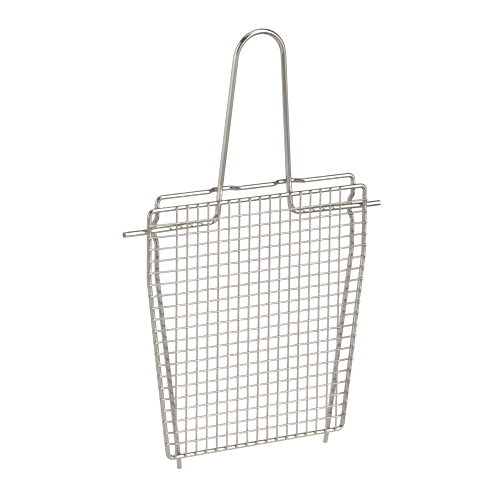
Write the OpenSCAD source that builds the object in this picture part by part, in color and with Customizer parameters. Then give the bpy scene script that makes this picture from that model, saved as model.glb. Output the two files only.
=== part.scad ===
// Hanging wire-mesh panel with a loop handle, welded up from round stainless wire.
// Millimetres, +Z up. The mesh faces -Y. The origin is on the ground under the middle of
// the mesh, halfway between the two pins and between the front and the back of the panel.

/* [Mesh] */
// Distance between neighbouring mesh wires, in both directions
mesh_pitch = 12.7; // [11:0.1:12.7]
// Number of upright mesh wires
upright_count = 17; // [3:2:17]
// Number of cross mesh wires
cross_count = 20; // [3:1:20]
// Thickness of a mesh wire
mesh_wire_d = 2.3; // [1.6:0.1:2.8]
// Height of the top cross wire below the front frame's top run
mesh_drop = 14.95; // [13:0.05:16]
// Middle of the cross wires between their tips, to the right of the middle of the uprights
cross_mid = 0.7; // [0:0.1:1.7]

/* [Front frame] */
// Thickness of the wire of both frames
frame_wire_d = 5.3; // [4:0.1:5.4]
// Middle of both frames, to the right of the middle of the mesh and of the pins
frame_mid = 1.7; // [0:0.1:2]
// Width over the wire centres, above the shoulders
front_top_w = 268.5; // [264:0.5:274]
// Width over the wire centres, along the bottom run
front_bottom_w = 220.5; // [220:0.5:226]
// Height from the bottom run to the top run
front_h = 273.3; // [270:0.1:290]
// Height of the shoulders, where the sides start to taper, below the top run
front_shoulder_drop = 75; // [50:1:120]

/* [Rear frame] */
// Width over the wire centres, above the shoulders
rear_top_w = 244; // [238:0.5:246]
// Width over the wire centres at the tips of the feet
rear_foot_w = 185.5; // [180:0.5:196]
// Height of its top run above the front frame's top run
rear_rise = 12; // [9:0.1:16]
// Height of the shoulders below its top run
rear_shoulder_drop = 83; // [60:1:120]
// Height of the front frame's bottom run above the tips of the feet
foot_reach = 15.6; // [12:0.1:20]
// Backward lean of the feet, in degrees
foot_lean = 6; // [2:0.5:10]

/* [Handle] */
// Thickness of the handle's wire
handle_wire_d = 6.35; // [5.5:0.05:7]
// Distance between the legs at the level of the rods
leg_gap = 92.2; // [84:0.2:96]
// Middle between the legs, to the left of the middle of the mesh and of the pins
leg_mid = -1.1; // [-2:0.1:0]
// Radius of the loop at the top
loop_r = 29.4; // [24:0.1:36]
// Height from the rods to the centre of the loop
loop_h = 172; // [150:0.5:200]
// Forward lean of the handle above the frames, in degrees
handle_lean = 3; // [1:0.1:3]
// Width from pin tip to pin tip
pin_span = 319.2; // [305:0.2:340]
// Height of the pins below the front frame's top run
pin_drop = 23.3; // [21:0.1:24]
// How much lower the rods are at the pins than at the legs
rod_fall = 2; // [1.5:0.1:2.4]

/* [Bends] */
// Radius of the corners of both frames
corner_r = 6.5; // [6:0.5:12]
// Radius of the shoulders of both frames
shoulder_r = 40; // [20:1:80]
// Radius where a leg of the handle turns into a rod
leg_bend_r = 11; // [8:0.5:14]
// Radius of the joggles' bends
joggle_r = 7; // [5:0.5:8]
// Length of a joggle where a leg passes the rear frame's top run
top_joggle_l = 36; // [34:0.5:40]
// Length of a joggle where a rod passes a side of the rear frame
side_joggle_l = 27; // [26:0.5:30]
// Length of the step at each end of a joggle
joggle_step_l = 7; // [7:0.5:8]
// Distance between the middles of the top run's two joggles
joggle_gap = 80; // [78:0.5:84]
// Where the middle between them lies along the pins, from the middle of the panel
joggle_mid = 0.6; // [-1:0.1:1]

/* [Hidden] */
$fn = 48;
two_digits = function (i) i < 10 ? str("0", i) : str(i);
UPRIGHTS = [for (i = [1 : upright_count]) str("upright_wire_", two_digits(i))];
CROSSES = [for (i = [1 : cross_count]) str("cross_wire_", two_digits(i))];

// Chamfer on the cut ends of the frame and handle wires, and on those of the mesh wires
tip = 0.4;
fine_tip = 0.2;

// Each run sinks this far into its bends, which are thicker by this hair all round
run_sink = 0.2;
bend_swell = 0.02;

// Heights
bottom_z = foot_reach;
top_z = bottom_z + front_h;
rear_top_z = top_z + rear_rise;
pin_z = top_z - pin_drop;
rod_z = pin_z + rod_fall;
top_cross_z = top_z - mesh_drop;
front_shoulder_z = top_z - front_shoulder_drop;
rear_shoulder_z = rear_top_z - rear_shoulder_drop;

// Layers of wire from front to back, each resting on the next
depth = 2 * mesh_wire_d + 2 * frame_wire_d + handle_wire_d;
cross_y = mesh_wire_d / 2 - depth / 2;
upright_y = cross_y + mesh_wire_d;
front_y = upright_y + (mesh_wire_d + frame_wire_d) / 2;
handle_y = front_y + (frame_wire_d + handle_wire_d) / 2;
rear_y = front_y + frame_wire_d;
joggle_y = rear_y + handle_wire_d;

// How far a mesh wire's end passes the middle of the frame wire it is welded to, for a cross wire on average
cross_overhang = frame_wire_d / 2;
foot_overhang = 0.8;
head_overhang = 1.6;
// The outermost upright, where the cross wires start to bend back to the frame
last_upright_x = mesh_pitch * (upright_count - 1) / 2;
bend_back_gap = 1.5;
bend_back_r = 12;

// The pins, level outside the front frame
pin_tip_x = pin_span / 2;
pin_root_x = frame_mid + front_top_w / 2 + frame_wire_d / 2 + 1.5;
pin_bend_r = 60;

// The handle's legs touch the loop's circle and meet above it
leg_tilt = acos(loop_r / norm([leg_gap / 2, loop_h])) - atan2(loop_h, leg_gap / 2);
legs_meet = leg_gap / 2 / tan(leg_tilt);
lean_z = rear_top_z + 5;
lean_r = 60;

// The feet carry on the taper of the rear frame's sides
side_tilt = atan((rear_top_w - rear_foot_w) / 2 / rear_shoulder_z);
foot_bend_z = bottom_z - frame_wire_d / 2 - 1;
foot_bend_r = 15;
foot_tilt = acos(1 / norm([1, tan(side_tilt), tan(foot_lean)]));
foot_tip_z = (frame_wire_d / 2 - tip) * sin(foot_tilt);

// Half width of the front frame, over the wire centres, at height z
function front_half(z) =
  z > front_shoulder_z ? front_top_w / 2
  : front_bottom_w / 2 + (front_top_w - front_bottom_w) / 2 * (z - bottom_z) / (front_shoulder_z - bottom_z);

// Half width of the rear frame, over the wire centres, at height z
function rear_half(z) =
  z > rear_shoulder_z ? rear_top_w / 2 : rear_foot_w / 2 + tan(side_tilt) * z;

// Distance of a leg of the handle from the middle at height z
function leg_half(z) = leg_gap / 2 - (z - rod_z) * tan(leg_tilt);

function unit(v) = v / norm(v);

// A path is a list of [corner, bend radius]. This gives its mirror image in the plane at x,
// in reverse order, which carries a wire on from its left half through its right half.
function mirrored(path, x) =
  [for (i = [len(path) - 1 : -1 : 0]) [[2 * x - path[i][0].x, path[i][0].y, path[i][0].z], path[i][1]]];

// The angle turned at corner b of a, b, c
function turn(a, b, c) = acos(unit(b - a) * unit(c - b));
// How much of each straight run the bend at corner b takes up
function setback(a, b, c, r) = r * tan(turn(a, b, c) / 2);

// Straight piece of round wire from a to b, its cut ends chamfered by tip_a and tip_b
module run(a, b, d, tip_a = 0, tip_b = 0) {
  v = b - a;
  h = norm(v);
  r = d / 2;
  translate(a)
    rotate([0, acos(v.z / h), atan2(v.y, v.x)])
      rotate_extrude()
        polygon([
          [0, 0],
          if (tip_a > 0) [r - tip_a, 0],
          [r, tip_a],
          [r, h - tip_b],
          if (tip_b > 0) [r - tip_b, h],
          [0, h]
        ]);
}

// Bend of radius r that joins the run from a to b with the run from b to c
module bend(a, b, c, r, d) {
  u = unit(b - a);
  w = unit(c - b);
  start = b - u * setback(a, b, c, r);
  centre = b + unit(w - u) * r / cos(turn(a, b, c) / 2);
  x = unit(start - centre);
  z = cross(x, u);
  multmatrix([
    [x.x, u.x, z.x, centre.x],
    [x.y, u.y, z.y, centre.y],
    [x.z, u.z, z.z, centre.z],
    [0, 0, 0, 1]
  ])
    rotate_extrude(angle = turn(a, b, c))
      translate([r, 0])
        circle(d = d + bend_swell);
}

// Wire along a path with two free ends, each chamfered by end_tip
module bent_wire(path, d, end_tip) {
  last = len(path) - 1;
  p = [for (q = path) q[0]];
  // Where each run starts or ends, measured back from its corner
  back = [for (i = [0 : last])
    i == 0 || i == last ? 0 : setback(p[i - 1], p[i], p[i + 1], path[i][1]) - run_sink];
  for (i = [0 : last - 1]) {
    u = unit(p[i + 1] - p[i]);
    first_tip = i == 0 ? end_tip : 0;
    last_tip = i == last - 1 ? end_tip : 0;
    run(p[i] + u * back[i], p[i + 1] - u * back[i + 1], d, first_tip, last_tip);
  }
  if (last > 1)
    for (i = [1 : last - 1])
      bend(p[i - 1], p[i], p[i + 1], path[i][1], d);
}

// Wire along a path that closes on itself
module wire_ring(path, d) {
  count = len(path);
  p = [for (q = path) q[0]];
  for (i = [0 : count - 1]) {
    before = p[(i + count - 1) % count];
    next = p[(i + 1) % count];
    after = p[(i + 2) % count];
    u = unit(next - p[i]);
    start = p[i] + u * (setback(before, p[i], next, path[i][1]) - run_sink);
    end = next - u * (setback(p[i], next, after, path[(i + 1) % count][1]) - run_sink);
    run(start, end, d);
    bend(before, p[i], next, path[i][1], d);
  }
}

// Closed wire that carries the mesh: straight above the shoulders, tapered below
module front_frame() {
  side = [
    [[frame_mid - front_bottom_w / 2, front_y, bottom_z], corner_r],
    [[frame_mid - front_top_w / 2, front_y, front_shoulder_z], shoulder_r],
    [[frame_mid - front_top_w / 2, front_y, top_z], corner_r]
  ];
  color("gainsboro")
    wire_ring(concat(side, mirrored(side, frame_mid)), frame_wire_d);
}

// The four corners of a joggle of length l, centred at c along the unit direction v,
// which steps back from rear_y to joggle_y and returns
function joggle(c, v, l) =
  let (flat = l / 2 - joggle_step_l, step = [0, joggle_y - rear_y, 0])
  [
    [c - v * l / 2, joggle_r],
    [c - v * flat + step, joggle_r],
    [c + v * flat + step, joggle_r],
    [c + v * l / 2, joggle_r]
  ];

// Open wire behind the front frame, with joggles that let the handle pass, ending in feet
module rear_frame() {
  side_x = frame_mid - rear_top_w / 2;
  foot_bend = [frame_mid - rear_half(foot_bend_z), rear_y, foot_bend_z];
  foot_drop = foot_bend_z - foot_tip_z;
  foot_tip = foot_bend + foot_drop * [tan(side_tilt), tan(foot_lean), -1];
  side = concat(
    [
      [foot_tip, 0],
      [foot_bend, foot_bend_r],
      [[side_x, rear_y, rear_shoulder_z], shoulder_r]
    ],
    joggle([side_x, rear_y, pin_z], [0, 0, 1], side_joggle_l),
    [[[side_x, rear_y, rear_top_z], corner_r]]
  );
  leg_joggle = joggle([joggle_mid - joggle_gap / 2, rear_y, rear_top_z], [1, 0, 0], top_joggle_l);
  path = concat(side, leg_joggle, mirrored(leg_joggle, joggle_mid), mirrored(side, frame_mid));
  color("silver")
    bent_wire(path, frame_wire_d, tip);
}

// One wire: pin, rod, leg, loop, leg, rod, pin
module handle() {
  pin = [
    [[-pin_tip_x, handle_y, pin_z], 0],
    [[-pin_root_x, handle_y, pin_z], pin_bend_r]
  ];
  leg = [
    [[leg_mid - leg_gap / 2, handle_y, rod_z], leg_bend_r],
    [[leg_mid - leg_half(lean_z), handle_y, lean_z], lean_r]
  ];
  leaning = [0, -sin(handle_lean), cos(handle_lean)];
  loop = [[leg_mid, handle_y, lean_z] + (legs_meet - (lean_z - rod_z)) * leaning, loop_r];
  color("silver")
    bent_wire(concat(pin, leg, [loop], mirrored(leg, leg_mid), mirrored(pin, 0)), handle_wire_d, tip);
}

// Upright number i from the left, welded to the front of the frame's top and bottom runs
module upright_wire(i) {
  x = mesh_pitch * (i - (upright_count + 1) / 2);
  path = [
    [[x, upright_y, bottom_z - foot_overhang], 0],
    [[x, upright_y, top_z + head_overhang], 0]
  ];
  color("darkgray")
    bent_wire(path, mesh_wire_d, fine_tip);
}

// Cross wire number i from the top, over the uprights and back to the frame's sides
module cross_wire(i) {
  z = top_cross_z - mesh_pitch * (i - 1);
  end = [[[cross_mid - front_half(z) - cross_overhang, upright_y, z], 0]];
  weld = [[[frame_mid - front_half(z) + cross_overhang / 2, upright_y, z], bend_back_r]];
  back = [[[-last_upright_x - bend_back_gap, cross_y, z], bend_back_r]];
  path = concat(end, weld, back, mirrored(back, 0), mirrored(weld, frame_mid), mirrored(end, cross_mid));
  color("lightgray")
    bent_wire(path, mesh_wire_d, fine_tip);
}

front_frame();
rear_frame();
handle();
for (i = [1 : upright_count])
  upright_wire(i);
for (i = [1 : cross_count])
  cross_wire(i);
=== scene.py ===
"""The looks of the welded wire panel: each wire swept at full detail, its welds, its steel and the studio.

Lengths in this script are in millimetres, in the frame of the CAD part, unless a comment says otherwise.
They turn into metres where a mesh is made.
"""

import bpy
import math
import numpy as np
import random
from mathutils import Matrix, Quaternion, Vector


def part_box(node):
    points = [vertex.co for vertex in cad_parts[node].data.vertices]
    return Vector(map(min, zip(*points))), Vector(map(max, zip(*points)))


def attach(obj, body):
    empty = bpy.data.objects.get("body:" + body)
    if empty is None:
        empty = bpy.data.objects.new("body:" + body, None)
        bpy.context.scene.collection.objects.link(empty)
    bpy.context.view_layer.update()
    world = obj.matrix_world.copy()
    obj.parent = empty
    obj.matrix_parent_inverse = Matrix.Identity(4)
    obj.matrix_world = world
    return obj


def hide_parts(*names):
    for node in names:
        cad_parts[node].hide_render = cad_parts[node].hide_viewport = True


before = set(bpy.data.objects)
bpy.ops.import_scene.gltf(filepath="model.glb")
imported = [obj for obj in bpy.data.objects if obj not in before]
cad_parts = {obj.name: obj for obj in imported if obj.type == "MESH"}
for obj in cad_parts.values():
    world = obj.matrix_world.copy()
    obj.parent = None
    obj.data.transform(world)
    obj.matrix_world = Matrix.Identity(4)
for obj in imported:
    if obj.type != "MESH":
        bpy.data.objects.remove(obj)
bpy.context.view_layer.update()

MM = 0.001
UPRIGHTS = sorted(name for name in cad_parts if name.startswith("upright_wire"))
CROSSES = sorted(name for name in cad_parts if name.startswith("cross_wire"))


def corners(node):
    """Lowest and highest corner of a CAD node, in millimetres."""
    low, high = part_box(node)
    return np.array(low) / MM, np.array(high) / MM


# ---------------------------------------------------------------- wires, bends and levels

MESH_R = 2.3 / 2
FRAME_R = 5.3 / 2
HANDLE_R = 6.35 / 2

CORNER_BEND = 6.5
SHOULDER_BEND = 40
LEG_BEND = 11
JOGGLE_BEND = 7
PIN_BEND = 60
LEAN_BEND = 60
FOOT_BEND = 15
MESH_BEND = 12

# Front frame: its width along the bottom run, and its shoulders' drop below the top run
FRONT_BOTTOM_W = 220.5
FRONT_SHOULDER_DROP = 75
# Rear frame: the width over the tips of its feet, its shoulders' drop, its joggles and the lean of its feet
REAR_FOOT_W = 185.5
REAR_SHOULDER_DROP = 83
TOP_JOGGLE = 36
SIDE_JOGGLE = 27
JOGGLE_STEP = 7
JOGGLE_GAP = 80
JOGGLE_MID = 0.6
FOOT_LEAN = 6
# Handle: its legs at the rods, its loop, its forward lean, and its rods' fall towards the pins
LEG_GAP = 92.2
LEG_MID = -1.1
LOOP_BEND = 29.4
LOOP_H = 172
HANDLE_LEAN = 3
PIN_DROP = 23.3
ROD_FALL = 2
# From the front frame's side out to a pin's bend, and from the rear frame's top up to the handle's lean
PIN_ROOT_GAP = 1.5
LEAN_RISE = 5
# From the front frame's underside down to a foot's bend, and from a foot's lowest point up to its tip's middle
FOOT_BEND_DROP = 1
FOOT_TIP_LIFT = 0.25
# From the outermost upright out to where a cross wire starts to bend back
BEND_BACK_GAP = 1.5

front_low, front_high = corners("front_frame")
rear_low, rear_high = corners("rear_frame")
handle_low, handle_high = corners("handle")
cross_low, cross_high = corners(CROSSES[0])

# Layers of wire from front to back
cross_y = cross_low[1] + MESH_R
upright_y = cross_high[1] - MESH_R
front_y = (front_low[1] + front_high[1]) / 2
handle_y = handle_high[1] - HANDLE_R
rear_y = front_y + 2 * FRAME_R
joggle_y = rear_y + 2 * HANDLE_R

bottom_z = front_low[2] + FRAME_R
top_z = front_high[2] - FRAME_R
rear_top_z = rear_high[2] - FRAME_R
pin_z = top_z - PIN_DROP
rod_z = pin_z + ROD_FALL
front_shoulder_z = top_z - FRONT_SHOULDER_DROP
rear_shoulder_z = rear_top_z - REAR_SHOULDER_DROP
lean_z = rear_top_z + LEAN_RISE

frame_mid = (front_low[0] + front_high[0]) / 2
front_half_top = (front_high[0] - front_low[0]) / 2 - FRAME_R
rear_half_top = (rear_high[0] - rear_low[0]) / 2 - FRAME_R
pin_tip = handle_high[0]
pin_root = front_high[0] + PIN_ROOT_GAP

leg_tilt = math.acos(LOOP_BEND / math.hypot(LEG_GAP / 2, LOOP_H)) - math.atan2(LOOP_H, LEG_GAP / 2)
side_taper = (rear_half_top - REAR_FOOT_W / 2) / rear_shoulder_z


def front_half(z):
    """Half width of the front frame, over the wire's centre, at height z."""
    share = (z - bottom_z) / (front_shoulder_z - bottom_z)
    return min(front_half_top, FRONT_BOTTOM_W / 2 + (front_half_top - FRONT_BOTTOM_W / 2) * share)


def rear_half(z):
    """Half width of the rear frame, over the wire's centre, at height z."""
    return min(rear_half_top, REAR_FOOT_W / 2 + side_taper * z)


def leg_half(z):
    """Distance of a leg of the handle from the middle between the legs at height z."""
    return LEG_GAP / 2 - (z - rod_z) * math.tan(leg_tilt)


def rod_level(x):
    """Height of a rod of the handle at x, which falls a little from the leg to the pin."""
    leg = LEG_MID + math.copysign(LEG_GAP / 2, x)
    share = (abs(x) - abs(leg)) / (pin_root - abs(leg))
    return rod_z - ROD_FALL * min(1, max(0, share))


# ---------------------------------------------------------------- paths: lists of (corner, bend radius)

def mirrored(path, x):
    """The mirror image of a path in the plane at x, in reverse order."""
    return [((2 * x - p[0], p[1], p[2]), bend) for p, bend in reversed(path)]


def front_frame_path():
    side = [
        ((frame_mid - FRONT_BOTTOM_W / 2, front_y, bottom_z), CORNER_BEND),
        ((frame_mid - front_half_top, front_y, front_shoulder_z), SHOULDER_BEND),
        ((frame_mid - front_half_top, front_y, top_z), CORNER_BEND),
    ]
    return side + mirrored(side, frame_mid)


def joggle(centre, direction, length):
    """A step back from rear_y to joggle_y and its return, along a unit direction."""
    centre = np.array(centre)
    direction = np.array(direction)
    plateau = length / 2 - JOGGLE_STEP
    back = np.array((0, joggle_y - rear_y, 0))
    points = (
        centre - direction * length / 2,
        centre - direction * plateau + back,
        centre + direction * plateau + back,
        centre + direction * length / 2,
    )
    return [(tuple(p), JOGGLE_BEND) for p in points]


def rear_frame_path():
    side_x = frame_mid - rear_half_top
    bend_z = front_low[2] - FOOT_BEND_DROP
    bend_x = frame_mid - rear_half(bend_z)
    drop = bend_z - rear_low[2] - FOOT_TIP_LIFT
    tip = (bend_x + drop * side_taper, rear_y + drop * math.tan(math.radians(FOOT_LEAN)), bend_z - drop)
    side = [(tip, 0), ((bend_x, rear_y, bend_z), FOOT_BEND), ((side_x, rear_y, rear_shoulder_z), SHOULDER_BEND)]
    side += joggle((side_x, rear_y, pin_z), (0, 0, 1), SIDE_JOGGLE)
    side += [((side_x, rear_y, rear_top_z), CORNER_BEND)]
    leg_joggle = joggle((JOGGLE_MID - JOGGLE_GAP / 2, rear_y, rear_top_z), (1, 0, 0), TOP_JOGGLE)
    return side + leg_joggle + mirrored(leg_joggle, JOGGLE_MID) + mirrored(side, frame_mid)


def handle_path():
    pin = [((-pin_tip, handle_y, pin_z), 0), ((-pin_root, handle_y, pin_z), PIN_BEND)]
    leg = [
        ((LEG_MID - LEG_GAP / 2, handle_y, rod_z), LEG_BEND),
        ((LEG_MID - leg_half(lean_z), handle_y, lean_z), LEAN_BEND),
    ]
    legs_meet = LEG_GAP / 2 / math.tan(leg_tilt) - (lean_z - rod_z)
    lean = math.radians(HANDLE_LEAN)
    loop = (LEG_MID, handle_y - legs_meet * math.sin(lean), lean_z + legs_meet * math.cos(lean))
    return pin + leg + [(loop, LOOP_BEND)] + mirrored(leg, LEG_MID) + mirrored(pin, 0)


def upright_path(node):
    low, high = corners(node)
    x = (low[0] + high[0]) / 2
    return [((x, upright_y, low[2]), 0), ((x, upright_y, high[2]), 0)]


def cross_path(node):
    low, high = corners(node)
    z = (low[2] + high[2]) / 2
    last_upright = corners(UPRIGHTS[-1])[0][0] + MESH_R
    end = [((low[0], upright_y, z), 0)]
    weld = [((frame_mid - front_half(z) + FRAME_R / 2, upright_y, z), MESH_BEND)]
    back = [((-last_upright - BEND_BACK_GAP, cross_y, z), MESH_BEND)]
    left = end + weld + back
    return left + mirrored(back, 0) + mirrored(weld, frame_mid) + mirrored(end, (low[0] + high[0]) / 2)


# ---------------------------------------------------------------- from a path to the stations of a swept wire

ARC_STEP = math.radians(4)
CLOSEST_STATIONS = 0.12
# How finely a wire is searched for the point nearest a weld
SEARCH_STEP = 0.2
# Where the rings at a weld go along the wire, as shares of its reach
WELD_STATIONS = np.array((-2.2, -1.5, -1, -0.6, -0.3, 0, 0.3, 0.6, 1, 1.5, 2.2))


def unit(v):
    return v / np.linalg.norm(v, axis=-1, keepdims=True)


def centre_line(path, closed):
    """Points of a path, close together round its bends, with the unit tangent at each."""
    points = [np.array(p, float) for p, _ in path]
    line, tangents = [], []
    for i, (_, bend) in enumerate(path):
        corner = points[i]
        if bend == 0:
            a, b = (points[0], points[1]) if i == 0 else (points[-2], points[-1])
            line.append(corner[None])
            tangents.append(unit(b - a)[None])
            continue
        u = unit(corner - points[i - 1])
        w = unit(points[(i + 1) % len(path)] - corner)
        turn = math.acos(min(1, u @ w))
        centre = corner + unit(w - u) * bend / math.cos(turn / 2)
        arm = unit(corner - u * bend * math.tan(turn / 2) - centre)
        angles = np.linspace(0, turn, 2 + int(turn / ARC_STEP))[:, None]
        line.append(centre + bend * (arm * np.cos(angles) + u * np.sin(angles)))
        tangents.append(u * np.cos(angles) - arm * np.sin(angles))
    if closed:
        line.append(line[0][:1])
        tangents.append(tangents[0][:1])
    return np.concatenate(line), np.concatenate(tangents)


def place_stations(line, welds, step, reach):
    """Where along the line to set rings: at its own points, every step, and closer together at the welds."""
    s = np.concatenate([[0], np.cumsum(np.linalg.norm(np.diff(line, axis=0), axis=1))])
    wanted = [s, np.arange(0, s[-1], step)]
    dense_s = np.arange(0, s[-1], SEARCH_STEP)
    dense = np.stack([np.interp(dense_s, s, line[:, k]) for k in range(3)], axis=1)
    for weld in welds:
        nearest = dense_s[np.argmin(np.linalg.norm(dense - weld["point"], axis=1))]
        wanted.append(nearest + reach * WELD_STATIONS)
    wanted = np.sort(np.clip(np.concatenate(wanted), 0, s[-1]))
    kept = [wanted[0]]
    for value in wanted[1:-1]:
        if value - kept[-1] > CLOSEST_STATIONS and s[-1] - value > CLOSEST_STATIONS:
            kept.append(value)
    return s, np.array(kept + [s[-1]])


# ---------------------------------------------------------------- welds

# How far a weld reaches, how deep it sinks, how flat the electrode left it, and its heat tint, with painted
# shade, on either wire
MESH_WELD = {"reach": 1.1, "depth": 0.3, "flat": 0.22, "front_tint_and_shade": 0.2, "back_tint_and_shade": 1.0}
END_WELD = {"reach": 1.5, "depth": 0.4, "flat": 0.3, "front_tint_and_shade": 0.3, "back_tint_and_shade": 0.9}
FRAME_WELD = {"reach": 2.6, "depth": 0.6, "flat": 0.1, "front_tint_and_shade": 1.0, "back_tint_and_shade": 1.0}
# How far the heat tint sits above the weld, and how wide it spreads, as shares of the weld's reach; raised
# above the weld, it also paints the shade just above each crossing
TINT_AND_SHADE_RISE = np.array((0, 0, 1.4))
TINT_AND_SHADE_SPREAD = 1.9
# How far the skin has to face the other wire to sink into it, and away from it to be pressed flat
JOINED_FROM = 0.2
PRESSED_FROM = 0.45
# How fast the electrode's mark, partly a painted highlight, gains strength as the skin turns away from the
# other wire
MARK_HIGHLIGHT_GAIN = 1.6
# A weld changes nothing further than this in front of it or behind it
WELD_DEPTH = 3 * HANDLE_R


def add_weld(welds, front_wire, back_wire, x, y, z, kind):
    """A weld at a point where front_wire lies against back_wire."""
    point = np.array((x, y, z))
    back = np.array((0.0, 1.0, 0.0))
    welds.setdefault(front_wire, []).append(dict(kind, point=point, towards=back, tint_and_shade=kind["front_tint_and_shade"]))
    welds.setdefault(back_wire, []).append(dict(kind, point=point, towards=-back, tint_and_shade=kind["back_tint_and_shade"]))


def find_welds():
    """Every place where two wires touch, by the names of both wires."""
    welds = {}
    levels = {name: corners(name)[0][2] + MESH_R for name in CROSSES}
    columns = {name: corners(name)[0][0] + MESH_R for name in UPRIGHTS}
    for cross, z in levels.items():
        for upright, x in columns.items():
            add_weld(welds, cross, upright, x, (cross_y + upright_y) / 2, z, MESH_WELD)
        for side in (-1, 1):
            x = frame_mid + side * front_half(z)
            add_weld(welds, cross, "front_frame", x, upright_y + MESH_R, z, END_WELD)
    for upright, x in columns.items():
        for z in (bottom_z, top_z):
            add_weld(welds, upright, "front_frame", x, upright_y + MESH_R, z, END_WELD)
    front_back = front_y + FRAME_R
    handle_back = handle_y + HANDLE_R
    for side in (-1, 1):
        front_side = frame_mid + side * front_half_top
        rear_side = frame_mid + side * rear_half_top
        leg_low = LEG_MID + side * leg_half(top_z)
        leg_high = LEG_MID + side * leg_half(rear_top_z)
        foot = frame_mid + side * rear_half(bottom_z)
        add_weld(welds, "front_frame", "handle", front_side, front_back, rod_level(front_side), FRAME_WELD)
        add_weld(welds, "front_frame", "handle", leg_low, front_back, top_z, FRAME_WELD)
        add_weld(welds, "handle", "rear_frame", rear_side, handle_back, rod_level(rear_side), FRAME_WELD)
        add_weld(welds, "handle", "rear_frame", leg_high, handle_back, rear_top_z, FRAME_WELD)
        add_weld(welds, "front_frame", "rear_frame", rear_side, front_back, top_z, FRAME_WELD)
        add_weld(welds, "front_frame", "rear_frame", foot, front_back, bottom_z, FRAME_WELD)
    return welds


def press_welds(skin, outward, welds):
    """Moves a wire's skin at its welds: into the wire it joins, and flat where the electrode pressed."""
    heat = np.zeros(len(skin))
    mark_and_highlight = np.zeros(len(skin))
    for weld in welds:
        towards = weld["towards"]
        offset = skin - weld["point"]
        sideways = offset - np.outer(offset @ towards, towards)
        near = np.exp(-np.sum(sideways**2, axis=1) / weld["reach"] ** 2)
        near = near * (np.abs(offset @ towards) < WELD_DEPTH)
        facing = outward @ towards
        joined = np.clip((facing - JOINED_FROM) / (1 - JOINED_FROM), 0, 1)
        pressed = np.clip((-facing - PRESSED_FROM) / (1 - PRESSED_FROM), 0, 1)
        skin += np.outer(near * (weld["depth"] * joined + weld["flat"] * pressed), towards)
        # Heat tint, raised above the weld, which also paints the shade just above the crossing
        from_tint = offset - TINT_AND_SHADE_RISE * weld["reach"]
        glow = np.exp(-np.sum(from_tint**2, axis=1) / (TINT_AND_SHADE_SPREAD * weld["reach"]) ** 2)
        heat = np.maximum(heat, weld["tint_and_shade"] * glow)
        # Electrode mark, partly a painted highlight, where the skin faces away from the other wire
        mark_and_highlight = np.maximum(mark_and_highlight, np.sqrt(near) * np.clip(-facing * MARK_HIGHLIGHT_GAIN, 0, 1))
    return heat, mark_and_highlight


# ---------------------------------------------------------------- sweeping a wire

# Rings of a cut end, as shares of its flat's radius, and how far its middle stands out
END_RINGS = (0.35, 0.7, 0.93)
END_DOME = 0.07
# The ring that rounds off an end's chamfer: its place along the wire and inwards, as shares of the chamfer
EDGE_ALONG = 0.35
EDGE_INWARDS = 0.3
# Lengths of the slow waves in a mesh wire, and edges sharper than this angle are not smoothed
WAVE_LENGTHS = (61, 37, 23)
SHARP_ANGLE = math.radians(38)


def wave(s, lengths, rng):
    """A slow waver along a wire between -1 and 1: the mean of sines with random phases."""
    total = np.zeros_like(s)
    for length in lengths:
        total += np.sin(2 * math.pi * (s / length + rng.random()))
    return total / len(lengths)


def cap_rings(s_end, inwards, radius, chamfer):
    """Stations (distance, radius) for a cut end, from its middle out to its chamfer."""
    rings = [(s_end - inwards * END_DOME * (1 - share**2), share * (radius - chamfer)) for share in END_RINGS]
    edge = (s_end + inwards * chamfer * EDGE_ALONG, radius - chamfer * EDGE_INWARDS)
    return rings + [(s_end, radius - chamfer), edge]


def place_rings(stations, length, radius, chamfer, closed):
    """Distance along the wire and radius of every ring, with those of its cut ends unless it is closed."""
    rings = [(value, radius) for value in stations]
    if closed:
        return np.array(rings[:-1])
    first = cap_rings(0, 1, radius, chamfer)
    last = cap_rings(length, -1, radius, chamfer)
    inside = [ring for ring in rings if chamfer < ring[0] < length - chamfer]
    return np.array(first + [(chamfer, radius)] + inside + [(length - chamfer, radius)] + last[::-1])


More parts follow.
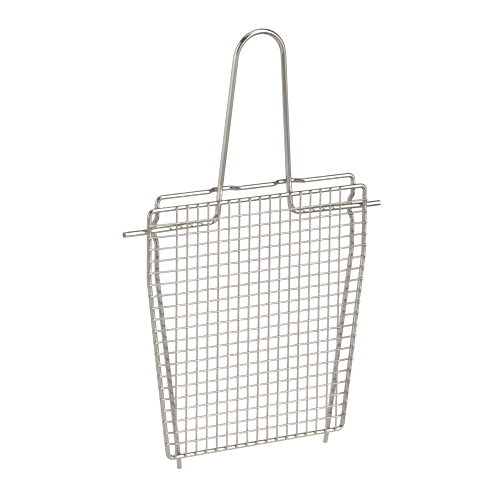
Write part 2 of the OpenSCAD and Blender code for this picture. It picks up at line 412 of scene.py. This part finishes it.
def sweep(name, path, radius, welds, closed=False, sides=16, step=2.0, chamfer=0.4, waver=0.0, rng=None):
    """A wire along a path as a mesh object, with attributes that its steel is painted by."""
    line, tangents = centre_line(path, closed)
    reach = min(weld["reach"] for weld in welds)
    s, stations = place_stations(line, welds, step, reach)
    at, radii = place_rings(stations, s[-1], radius, chamfer, closed).T
    centres = np.stack([np.interp(at, s, line[:, k]) for k in range(3)], axis=1)
    forward = unit(np.stack([np.interp(at, s, tangents[:, k]) for k in range(3)], axis=1))
    if not closed:
        centres += forward * (np.minimum(at, 0) + np.maximum(at - s[-1], 0))[:, None]
    front = np.array((0.0, -1.0, 0.0))
    e1 = unit(front - forward * (forward @ front)[:, None])
    e2 = np.cross(forward, e1)
    if waver:
        centres += e2 * (waver * wave(at, WAVE_LENGTHS, rng))[:, None]
    turn = 2 * math.pi * np.arange(sides) / sides
    spokes = e1[:, None] * np.cos(turn)[None, :, None] + e2[:, None] * np.sin(turn)[None, :, None]
    skin = (centres[:, None] + spokes * radii[:, None, None]).reshape(-1, 3)
    outward = spokes.reshape(-1, 3)
    along = np.repeat(at, sides)
    drawn = np.stack([np.tile(np.cos(turn), len(at)), np.tile(np.sin(turn), len(at))], axis=1) * radius
    heat, mark_and_highlight = press_welds(skin, outward, welds)
    faces = ring_faces(len(at), sides, closed)
    # Cut end faces, which the steel paints with shade and makes rougher
    cut = np.repeat(radii < radius - 0.5 * chamfer, sides).astype(float)
    if not closed:
        ends = ((0, 1, 0), (len(at) - 1, -1, s[-1]))
        for ring, inwards, s_end in ends:
            tip = centres[ring] - forward[ring] * inwards * END_DOME * END_RINGS[0] ** 2
            faces += cap_faces(ring * sides, sides, len(skin), inwards)
            skin = np.vstack([skin, tip])
            along = np.append(along, s_end)
            drawn = np.vstack([drawn, (0, 0)])
            heat = np.append(heat, heat[ring * sides])
            mark_and_highlight = np.append(mark_and_highlight, mark_and_highlight[ring * sides])
            cut = np.append(cut, 1)
    mesh = bpy.data.meshes.new(name)
    mesh.from_pydata((skin * MM).tolist(), [], faces)
    mesh.shade_smooth()
    mesh.set_sharp_from_angle(angle=SHARP_ANGLE)
    store(mesh, "drawn", "FLOAT_VECTOR", "vector", np.column_stack([drawn, along]))
    store(mesh, "heat", "FLOAT", "value", heat)
    store(mesh, "mark_and_highlight", "FLOAT", "value", mark_and_highlight)
    store(mesh, "cut", "FLOAT", "value", cut)
    piece = bpy.data.objects.new(name, mesh)
    bpy.context.scene.collection.objects.link(piece)
    return piece


def ring_faces(rings, sides, closed):
    """Quads between neighbouring rings."""
    faces = []
    for ring in range(rings if closed else rings - 1):
        here = ring * sides
        there = (ring + 1) % rings * sides
        for i in range(sides):
            j = (i + 1) % sides
            faces.append((here + i, here + j, there + j, there + i))
    return faces


def cap_faces(first, sides, middle, inwards):
    """Triangles from an end's innermost ring to its middle."""
    faces = []
    for i in range(sides):
        j = (i + 1) % sides
        faces.append((first + j, first + i, middle) if inwards > 0 else (first + i, first + j, middle))
    return faces


def store(mesh, name, kind, field, values):
    attribute = mesh.attributes.new(name, kind, "POINT")
    attribute.data.foreach_set(field, np.asarray(values, np.float32).ravel())


# ---------------------------------------------------------------- steel

def add_node(tree, kind, **settings):
    """A node with its settings and, by socket name, its input values."""
    node = tree.nodes.new(kind)
    for key, value in settings.items():
        if hasattr(node, key):
            setattr(node, key, value)
        else:
            node.inputs[key.replace("_", " ")].default_value = value
    return node


def noise(tree, vector, scale, detail=3.0, stretch=(1, 1, 1)):
    """Noise between 0 and 1 over a vector, stretched along its axes."""
    mapping = add_node(tree, "ShaderNodeMapping", Scale=stretch)
    texture = add_node(tree, "ShaderNodeTexNoise", Scale=scale, Detail=detail)
    tree.links.new(vector, mapping.inputs["Vector"])
    tree.links.new(mapping.outputs["Vector"], texture.inputs["Vector"])
    return texture.outputs["Fac"]


def calculate(tree, operation, a, b):
    """The result of a maths operation on two sockets or numbers."""
    node = add_node(tree, "ShaderNodeMath", operation=operation)
    for socket, value in zip(node.inputs, (a, b)):
        if isinstance(value, (int, float)):
            socket.default_value = value
        else:
            tree.links.new(value, socket)
    return node.outputs["Value"]


# Places of the factor and both colours among a colour mix node's inputs, and of its colour among its outputs
MIX_INPUTS = (0, 6, 7)
MIX_COLOUR = 2


def blend_colours(tree, factor, a, b, mode="MIX"):
    """Two colours, given as sockets or tuples, mixed by a factor."""
    node = tree.nodes.new("ShaderNodeMix")
    node.data_type = "RGBA"
    node.blend_type = mode
    for index, value in zip(MIX_INPUTS, (factor, a, b)):
        if isinstance(value, (int, float)):
            node.inputs[index].default_value = value
        elif isinstance(value, tuple):
            node.inputs[index].default_value = (*value, 1)
        else:
            tree.links.new(value, node.inputs[index])
    return node.outputs[MIX_COLOUR]


def spread(tree, value, low, high, start=0.0, end=1.0):
    """A value between start and end spread over low to high."""
    node = add_node(tree, "ShaderNodeMapRange")
    tree.links.new(value, node.inputs["Value"])
    node.inputs["From Min"].default_value = start
    node.inputs["From Max"].default_value = end
    node.inputs["To Min"].default_value = low
    node.inputs["To Max"].default_value = high
    return node.outputs["Result"]


LINE_COLOUR = (0.42, 0.40, 0.37)
# A light colour at the electrode marks, partly a painted highlight
MARK_HIGHLIGHT_COLOUR = (0.80, 0.77, 0.73)
# A dark colour on the cut end faces: painted shade, besides their rougher finish
CUT_SHADE_COLOUR = (0.16, 0.15, 0.14)
# Heat tint by its strength, from none through straw to brown; at full strength above the crossings the brown is
# painted shade
TINT_NONE = (1, 1, 1, 1)
TINT_STRAWS = ((0.35, (0.93, 0.86, 0.74, 1)), (0.6, (0.66, 0.52, 0.40, 1)))
TINT_BROWN_AND_SHADE = (0.30, 0.25, 0.21, 1)
# Light and dark colour of each wire's steel, its roughness, and how strongly the electrodes' marks, partly
# painted highlights, show on it
STEELS = {
    "handle_steel": ((0.80, 0.78, 0.74), (0.66, 0.63, 0.59), 0.08, 0.3),
    "frame_steel": ((0.79, 0.77, 0.73), (0.64, 0.61, 0.57), 0.09, 0.3),
    "upright_steel": ((0.80, 0.77, 0.74), (0.60, 0.56, 0.52), 0.2, 0.5),
    # The cross wires are the same steel as the uprights, coloured darker as painted shade
    "shaded_cross_steel": ((0.62, 0.61, 0.60), (0.48, 0.47, 0.46), 0.3, 1.0),
}


def steel(name):
    """Drawn stainless wire: lines along it, cloudy polish, heat tint at the welds with painted shade above the
    crossings, electrode marks partly painted as highlights, and painted shade on the cut ends.
    """
    light, dark, roughness, marks_and_highlights = STEELS[name]
    material = bpy.data.materials.new(name)
    material.use_nodes = True
    tree = material.node_tree
    shader = tree.nodes["Principled BSDF"]
    drawn = add_node(tree, "ShaderNodeAttribute", attribute_name="drawn").outputs["Vector"]
    heat = add_node(tree, "ShaderNodeAttribute", attribute_name="heat").outputs["Fac"]
    mark_and_highlight = add_node(tree, "ShaderNodeAttribute", attribute_name="mark_and_highlight").outputs["Fac"]
    cut = add_node(tree, "ShaderNodeAttribute", attribute_name="cut").outputs["Fac"]
    place = add_node(tree, "ShaderNodeTexCoord").outputs["Object"]
    lines = noise(tree, drawn, 4.5, 4.0, (1, 1, 0.03))
    clouds = noise(tree, place, 45.0, 3.0)
    streaks = noise(tree, drawn, 0.9, 3.0, (1, 1, 0.12))
    pits = noise(tree, place, 1400.0, 2.0)
    uneven = noise(tree, place, 420.0, 2.0)

    streaky = calculate(tree, "MULTIPLY", streaks, 0.4)
    worn = calculate(tree, "ADD", calculate(tree, "MULTIPLY", clouds, 0.6), streaky)
    tone = add_node(tree, "ShaderNodeObjectInfo").outputs["Random"]
    own_tone = calculate(tree, "MULTIPLY", tone, 0.3)
    shade = calculate(tree, "ADD", calculate(tree, "MULTIPLY", worn, 0.7), own_tone)
    colour = blend_colours(tree, spread(tree, shade, 0.0, 1.0, 0.25, 0.75), dark, light)
    colour = blend_colours(tree, spread(tree, lines, 0.0, 0.3), colour, LINE_COLOUR, "MULTIPLY")
    ragged = calculate(tree, "MULTIPLY", heat, spread(tree, uneven, 0.55, 1.25))
    # Heat tint, which also paints the shade just above each crossing
    tint_and_shade = tree.nodes.new("ShaderNodeValToRGB")
    tint_and_shade.color_ramp.elements[0].color = TINT_NONE
    tint_and_shade.color_ramp.elements[1].color = TINT_BROWN_AND_SHADE
    for at, straw in TINT_STRAWS:
        tint_and_shade.color_ramp.elements.new(at).color = straw
    tree.links.new(ragged, tint_and_shade.inputs["Fac"])
    colour = blend_colours(tree, 1.0, colour, tint_and_shade.outputs["Color"], "MULTIPLY")
    # Electrode marks, lightened as a painted highlight
    colour = blend_colours(tree, calculate(tree, "MULTIPLY", mark_and_highlight, marks_and_highlights), colour, MARK_HIGHLIGHT_COLOUR)
    # Painted shade darkens the cut ends
    colour = blend_colours(tree, calculate(tree, "MULTIPLY", cut, 0.8), colour, CUT_SHADE_COLOUR)
    tree.links.new(colour, shader.inputs["Base Color"])

    rough = calculate(tree, "ADD", spread(tree, lines, -0.05, 0.09), roughness)
    rough = calculate(tree, "ADD", rough, calculate(tree, "MULTIPLY", cut, 0.25))
    rough = calculate(tree, "ADD", rough, spread(tree, clouds, -0.05, 0.07))
    rough = calculate(tree, "ADD", rough, calculate(tree, "MULTIPLY", ragged, 0.16))
    tree.links.new(rough, shader.inputs["Roughness"])
    shader.inputs["Metallic"].default_value = 1.0

    scale = calculate(tree, "MULTIPLY", calculate(tree, "MULTIPLY", uneven, heat), 2.5)
    pitting = calculate(tree, "MULTIPLY", pits, 0.3)
    relief = calculate(tree, "ADD", calculate(tree, "MULTIPLY", lines, 0.7), pitting)
    relief = calculate(tree, "ADD", relief, scale)
    bump = add_node(tree, "ShaderNodeBump", Strength=0.35, Distance=0.00012)
    tree.links.new(relief, bump.inputs["Height"])
    tree.links.new(bump.outputs["Normal"], shader.inputs["Normal"])
    return material


# ---------------------------------------------------------------- the wires of the panel

MESH_CHAMFER = 0.2
MESH_WAVER = 0.14
WAVER_SEED = 12


def finish_piece(piece, node, material):
    """Gives a wire its steel and puts it in the place of its CAD node."""
    piece.data.materials.append(material)
    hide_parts(node)
    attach(piece, "root")


def build_panel():
    welds = find_welds()
    rng = random.Random(WAVER_SEED)
    handle_steel = steel("handle_steel")
    frame_steel = steel("frame_steel")
    upright_steel = steel("upright_steel")
    shaded_cross_steel = steel("shaded_cross_steel")
    handle = sweep("steel_handle", handle_path(), HANDLE_R, welds["handle"], sides=32, step=3.0)
    finish_piece(handle, "handle", handle_steel)
    front = sweep("steel_front_frame", front_frame_path(), FRAME_R, welds["front_frame"], closed=True, sides=28)
    finish_piece(front, "front_frame", frame_steel)
    rear = sweep("steel_rear_frame", rear_frame_path(), FRAME_R, welds["rear_frame"], sides=28, step=3.0)
    finish_piece(rear, "rear_frame", frame_steel)
    for node in UPRIGHTS + CROSSES:
        is_upright = node in UPRIGHTS
        path = upright_path(node) if is_upright else cross_path(node)
        shape = {"chamfer": MESH_CHAMFER, "waver": MESH_WAVER, "rng": rng}
        wire = sweep("steel_" + node, path, MESH_R, welds[node], **shape)
        finish_piece(wire, node, upright_steel if is_upright else shaded_cross_steel)


# ---------------------------------------------------------------- the studio

FLOOR_SIZE = 9000
FLOOR_COLOURS = ((0.93, 0.93, 0.93), (0.96, 0.96, 0.955))
FLOOR_GLOW = 0.75


def build_floor():
    """A pale floor, left out of reflections so that the steel mirrors the studio's own grey."""
    half = FLOOR_SIZE * MM / 2
    mesh = bpy.data.meshes.new("floor")
    points = [(-half, -half, 0), (half, -half, 0), (half, half, 0), (-half, half, 0)]
    mesh.from_pydata(points, [], [(0, 1, 2, 3)])
    material = bpy.data.materials.new("floor_paper")
    material.use_nodes = True
    tree = material.node_tree
    shader = tree.nodes["Principled BSDF"]
    place = add_node(tree, "ShaderNodeTexCoord").outputs["Object"]
    fibres = spread(tree, noise(tree, place, 60.0, 4.0), 0.0, 1.0)
    tree.links.new(blend_colours(tree, fibres, *FLOOR_COLOURS), shader.inputs["Base Color"])
    shader.inputs["Roughness"].default_value = 0.9
    shader.inputs["Specular IOR Level"].default_value = 0.0
    shader.inputs["Emission Color"].default_value = (1, 1, 1, 1)
    shader.inputs["Emission Strength"].default_value = FLOOR_GLOW
    mesh.materials.append(material)
    floor = bpy.data.objects.new("floor", mesh)
    bpy.context.scene.collection.objects.link(floor)
    floor.visible_glossy = False


def grey_by_elevation(tree, elevation, stops):
    """A grey that depends on a direction's elevation in degrees, from (elevation, grey) stops."""
    node = tree.nodes.new("ShaderNodeValToRGB")
    ramp = node.color_ramp
    while len(ramp.elements) < len(stops):
        ramp.elements.new(0.5)
    for element, (degrees, grey) in zip(ramp.elements, stops):
        element.position = 0.5 + degrees / 180
        element.color = (grey, grey, grey, 1)
    tree.links.new(spread(tree, elevation, 0.0, 1.0, -90, 90), node.inputs["Fac"])
    return node.outputs["Color"]


def box_mask(tree, azimuth, elevation, sides, ends):
    """1 inside a soft-edged box of directions, 0 outside. The box is given by its sides and ends in degrees."""
    mask = 1.0
    for angle, (low, high), soft in ((azimuth, sides, BOX_SOFT_SIDE), (elevation, ends, BOX_SOFT_END)):
        mask = calculate(tree, "MULTIPLY", mask, step_up(tree, angle, low, soft))
        before_high = calculate(tree, "SUBTRACT", 1.0, step_up(tree, angle, high, soft))
        mask = calculate(tree, "MULTIPLY", mask, before_high)
    return mask


def step_up(tree, angle, at, soft):
    """A smooth step from 0 to 1 round an angle."""
    node = add_node(tree, "ShaderNodeMapRange", interpolation_type="SMOOTHSTEP")
    tree.links.new(angle, node.inputs["Value"])
    node.inputs["From Min"].default_value = at - soft
    node.inputs["From Max"].default_value = at + soft
    return node.outputs["Result"]


# How far the soft edges of the boxes reach each way, in degrees
BOX_SOFT_SIDE = 5
BOX_SOFT_END = 6
# What the steel mirrors: the room's grey by elevation, then boxes as (sides, ends, brightness), with
# azimuth 0 in front. A negative brightness is a dark flag.
ROOM = (
    (-90, 0.10),
    (-45, 0.12),
    (-24, 0.20),
    (-14, 0.33),
    (-6, 0.36),
    (2, 0.13),
    (12, 0.03),
    (60, 0.04),
    (67, 0.7),
    (90, 0.75),
)
BOXES = (
    ((17, 48), (-13, 54), 2.4),
    ((-8, 26), (44, 62), 1.5),
    ((-92, -57), (-5, 43), 1.8),
    ((-60, -26), (-12, 3), 0.45),
    ((-150, -97), (-30, 34), 0.4),
    ((136, 174), (0, 30), 1.6),
    ((-172, -148), (0, 40), 1.6),
    ((24, 82), (-34, -16), -0.11),
)
STUDIO_TINT = (1.0, 0.975, 0.94)
# Light cards just above the floor, as lowest and highest x, then lowest and highest y, in metres
CARDS = ((-0.75, 0.05, -0.72, 0.2), (0.05, 0.16, -0.12, 0.2))
CARD_HEIGHT = 0.001
CARD_COLOURS = ((1.0, 0.97, 0.93), (1.0, 0.98, 0.95))
CARD_DIMMEST = 0.52
CARD_BRIGHTEST = 0.7


def build_cards():
    """Light cards on the floor at the front left and under the panel, seen only in the steel's reflections."""
    points, quads = [], []
    for x0, x1, y0, y1 in CARDS:
        first = len(points)
        points += [(x, y, CARD_HEIGHT) for x, y in ((x0, y0), (x1, y0), (x1, y1), (x0, y1))]
        quads.append(tuple(range(first, first + 4)))
    mesh = bpy.data.meshes.new("cards")
    mesh.from_pydata(points, [], quads)
    material = bpy.data.materials.new("card_light")
    material.use_nodes = True
    tree = material.node_tree
    shader = tree.nodes["Principled BSDF"]
    place = add_node(tree, "ShaderNodeTexCoord").outputs["Object"]
    cloudy = spread(tree, noise(tree, place, 3.0, 2.0), CARD_DIMMEST, CARD_BRIGHTEST)
    tree.links.new(cloudy, shader.inputs["Emission Strength"])
    tree.links.new(blend_colours(tree, cloudy, *CARD_COLOURS), shader.inputs["Emission Color"])
    shader.inputs["Base Color"].default_value = (0, 0, 0, 1)
    mesh.materials.append(material)
    cards = bpy.data.objects.new("cards", mesh)
    bpy.context.scene.collection.objects.link(cards)
    cards.visible_camera = False
    cards.visible_diffuse = False
    cards.visible_shadow = False


def build_studio():
    """White for the camera. For the steel: a dim room, bright overhead, with soft boxes and a dark flag."""
    world = bpy.data.worlds.new("studio")
    bpy.context.scene.world = world
    world.use_nodes = True
    tree = world.node_tree
    background = tree.nodes["Background"]
    split = tree.nodes.new("ShaderNodeSeparateXYZ")
    tree.links.new(add_node(tree, "ShaderNodeTexCoord").outputs["Generated"], split.inputs[0])
    degrees = 180 / math.pi
    forward = calculate(tree, "MULTIPLY", split.outputs["Y"], -1.0)
    azimuth = calculate(tree, "MULTIPLY", calculate(tree, "ARCTAN2", split.outputs["X"], forward), degrees)
    elevation = calculate(tree, "MULTIPLY", calculate(tree, "ARCSINE", split.outputs["Z"], 0.0), degrees)
    light = grey_by_elevation(tree, elevation, ROOM)
    for sides, ends, brightness in BOXES:
        mask = box_mask(tree, azimuth, elevation, sides, ends)
        light = blend_colours(tree, mask, light, (brightness, brightness, brightness), "ADD")
    light = blend_colours(tree, 1.0, light, STUDIO_TINT, "MULTIPLY")
    tree.links.new(light, background.inputs["Color"])
    paper = tree.nodes.new("ShaderNodeBackground")
    paper.inputs["Color"].default_value = (1, 1, 1, 1)
    choose = tree.nodes.new("ShaderNodeMixShader")
    seen = tree.nodes.new("ShaderNodeLightPath")
    tree.links.new(seen.outputs["Is Camera Ray"], choose.inputs["Fac"])
    tree.links.new(background.outputs[0], choose.inputs[1])
    tree.links.new(paper.outputs[0], choose.inputs[2])
    tree.links.new(choose.outputs[0], tree.nodes["World Output"].inputs["Surface"])


# ---------------------------------------------------------------- the camera

# Angles in degrees, the distance in metres, and the point that the camera looks at in millimetres
VIEW_AZIMUTH = -31.232
VIEW_ELEVATION = 13.855
VIEW_ROLL = 0.649
VIEW_DISTANCE = 2.9526
LENS = 199.46
SENSOR_WIDTH = 36
AIM = Vector((-11.41, -6.67, 234.05))


def direction_to(azimuth, elevation):
    """Unit vector from the panel towards a viewer. Azimuth 0 looks along +Y."""
    a, e = math.radians(azimuth), math.radians(elevation)
    return Vector((math.sin(a) * math.cos(e), -math.cos(a) * math.cos(e), math.sin(e)))


def build_camera():
    scene = bpy.context.scene
    data = bpy.data.cameras.new("camera")
    data.lens = LENS
    data.sensor_width = SENSOR_WIDTH
    data.clip_start = 0.1
    data.clip_end = 50
    camera = bpy.data.objects.new("camera", data)
    back = direction_to(VIEW_AZIMUTH, VIEW_ELEVATION)
    camera.location = AIM * MM + back * VIEW_DISTANCE
    level = (-back).to_track_quat("-Z", "Y")
    camera.rotation_mode = "QUATERNION"
    camera.rotation_quaternion = level @ Quaternion((0, 0, 1), math.radians(VIEW_ROLL))
    scene.collection.objects.link(camera)
    scene.camera = camera
    scene.view_settings.view_transform = "Standard"


build_panel()
build_floor()
build_cards()
build_studio()
build_camera()
